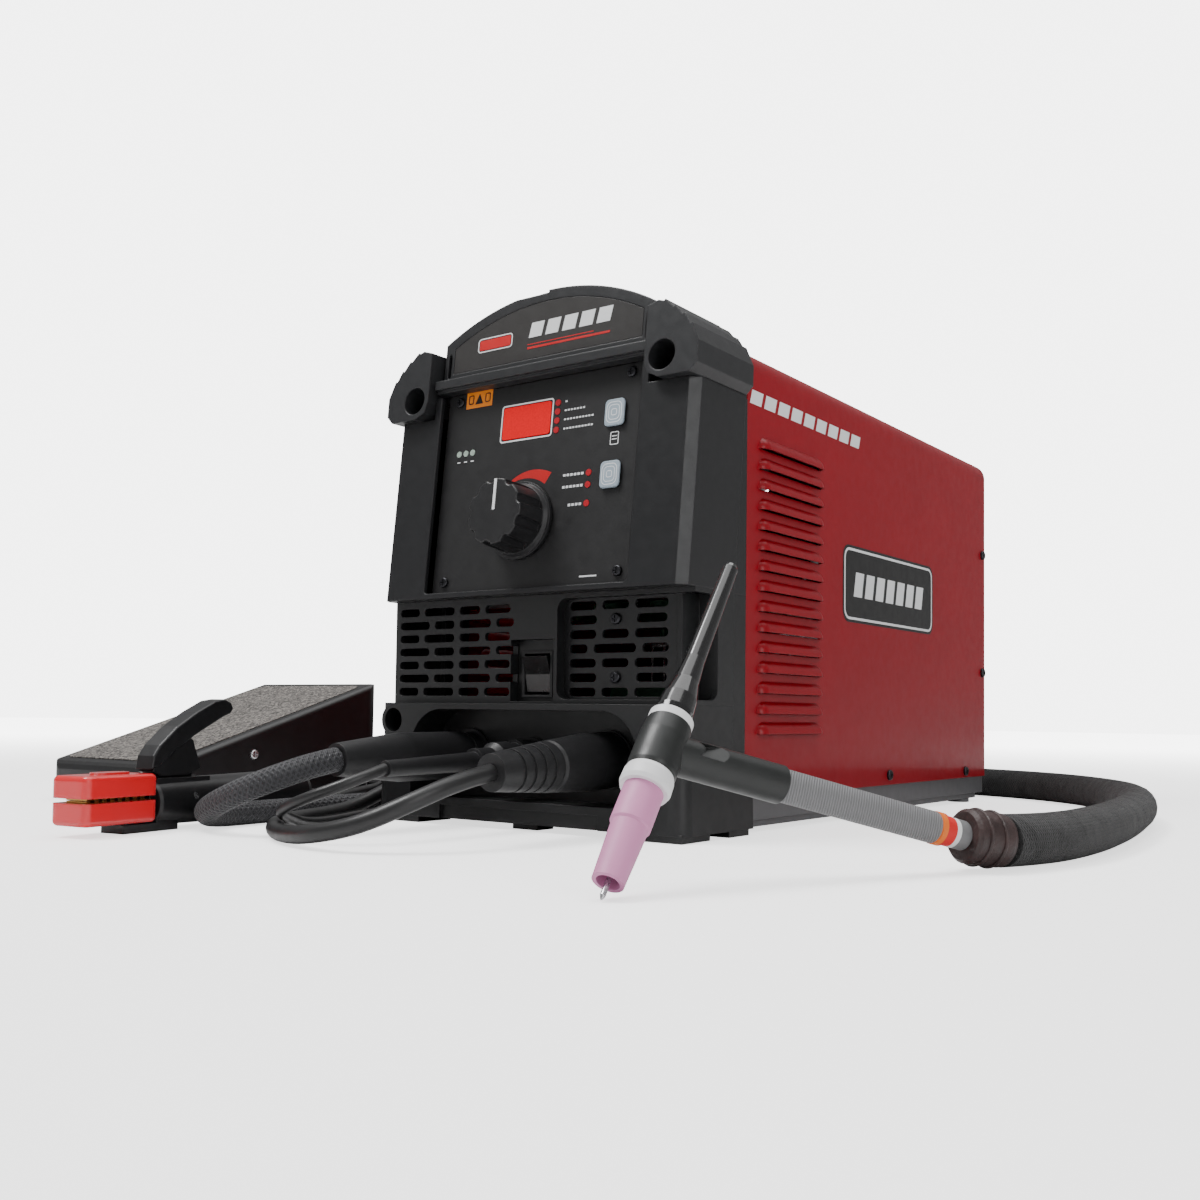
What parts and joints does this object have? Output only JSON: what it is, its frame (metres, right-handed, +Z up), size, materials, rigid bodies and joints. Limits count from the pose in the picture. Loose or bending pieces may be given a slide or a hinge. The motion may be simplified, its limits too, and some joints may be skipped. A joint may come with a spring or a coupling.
{
  "type": "tig welding machine",
  "caption": "Red and black TIG welding machine with louvred sheet cover, control panel and its connected torch, foot pedal and electrode holder",
  "frame": {"origin": "on the floor under the middle of the machine's control panel, at the foot pad between the machine's sides", "axes": "+X to the machine's right as seen from its front, +Y from its front to its back, +Z up"},
  "size_m": [0.7674, 0.8385, 0.3483],
  "materials": {
    "black_plastic": "satin",
    "grey_plastic": "satin",
    "panel_face": "satin",
    "name_plate": "satin",
    "red_paint": "gloss",
    "grey_paint": "satin",
    "black_screw": "satin",
    "display_lens": "gloss",
    "led_lens": "gloss",
    "key_plastic": "gloss",
    "knob_plastic": "satin",
    "steel": "satin",
    "circuit_board": "satin",
    "rocker_plastic": "gloss",
    "aluminium": "satin",
    "brass": "satin",
    "fan_plastic": "satin",
    "socket_plastic": "satin",
    "plug_rubber": "matte",
    "torch_black": "satin",
    "torch_grip": "matte",
    "insulator_white": "satin",
    "cup_ceramic": "matte",
    "cap_gloss": "gloss",
    "boot_leather": "satin",
    "woven_sleeve": "matte",
    "cable_rubber": "matte",
    "holder_plastic": "satin",
    "jaw_coral": "gloss",
    "pedal_paint": "satin",
    "grit_pad": "matte"
  },
  "bodies": {
    "machine": {"upper_fascia": "black_plastic", "inlet_panel": "black_plastic", "inlet_insert": "black_plastic", "base_moulding": "black_plastic", "top_handle": "black_plastic", "rocker_housing": "black_plastic", "bumper_left": "grey_plastic", "bumper_right": "grey_plastic", "control_panel": "panel_face", "nameplate": "name_plate", "wrap_cover": "red_paint", "chassis": "grey_paint", "rear_panel": "grey_paint", "case_screws": "black_screw", "display_window": "display_lens", "indicator_leds": "led_lens", "fan_guard": "steel", "holder_pin": "steel", "pedal_axle": "steel", "tungsten": "steel", "control_board": "circuit_board", "power_board": "circuit_board", "heat_sink": "aluminium", "gas_valve": "brass", "jaw_contact_lower": "brass", "fan_frame": "fan_plastic", "power_cord_gland": "fan_plastic", "front_sockets": "socket_plastic", "torch_plug": "plug_rubber", "remote_plug": "plug_rubber", "electrode_plug": "plug_rubber", "torch_head": "torch_black", "torch_handle": "torch_grip", "head_gaskets": "insulator_white", "alumina_cup": "cup_ceramic", "back_cap": "cap_gloss", "torch_boot": "boot_leather", "lead_cover": "woven_sleeve", "lead_cover_coil": "woven_sleeve", "braided_lead": "woven_sleeve", "lead_collar": "woven_sleeve", "holder_cable": "cable_rubber", "holder_cable_tail": "cable_rubber", "holder_cable_coil": "cable_rubber", "pedal_cable": "cable_rubber", "pedal_cable_tail": "cable_rubber", "pedal_cable_coil": "cable_rubber", "holder_body": "holder_plastic", "jaw_cover_lower": "jaw_coral", "pedal_base": "pedal_paint"},
    "knob_body": {"knob": "knob_plastic"},
    "mode_key": {"mode_button": "key_plastic"},
    "process_key": {"process_button": "key_plastic"},
    "rocker": {"rocker_paddle": "rocker_plastic"},
    "fan": {"fan_rotor": "fan_plastic"},
    "treadle": {"pedal_treadle": "pedal_paint", "pedal_pad": "grit_pad"},
    "upper_jaw": {"holder_lever": "holder_plastic", "jaw_cover_upper": "jaw_coral", "jaw_contact_upper": "brass"}
  },
  "joints": [
    {"name": "knob_turn", "type": "hinge", "parent": "machine", "child": "knob_body", "pos_m": [-0.008, -0.0027, 0.19554], "axis": [0, -0.9943, 0.1063], "continuous": true},
    {"name": "mode_key_press", "type": "slide", "parent": "machine", "child": "mode_key", "axis": [0, 0.9943, -0.1063], "range_m": [0, 0.0008], "stiffness_N_per_m": 600},
    {"name": "process_key_press", "type": "slide", "parent": "machine", "child": "process_key", "axis": [0, 0.9943, -0.1063], "range_m": [0, 0.0008], "stiffness_N_per_m": 600},
    {"name": "rocker_tilt", "type": "hinge", "parent": "machine", "child": "rocker", "pos_m": [0, 0.011, 0.098], "axis": [1, 0, 0], "range_deg": [-10, 0]},
    {"name": "fan_spin", "type": "hinge", "parent": "machine", "child": "fan", "pos_m": [0, 0.485, 0.19], "axis": [0, 1, 0], "continuous": true},
    {"name": "treadle_press", "type": "hinge", "parent": "machine", "child": "treadle", "pos_m": [-0.364, 0.014, 0.038], "axis": [1, 0, 0], "range_deg": [-10, 0], "stiffness_Nm_per_rad": 6, "springref_deg": 11.46},
    {"name": "jaw_open", "type": "hinge", "parent": "machine", "child": "upper_jaw", "pos_m": [-0.16377, -0.14077, 0.02], "axis": [-0.9848, -0.1736, 0], "range_deg": [0, 18], "stiffness_Nm_per_rad": 4, "springref_deg": -11.46}
  ]
}
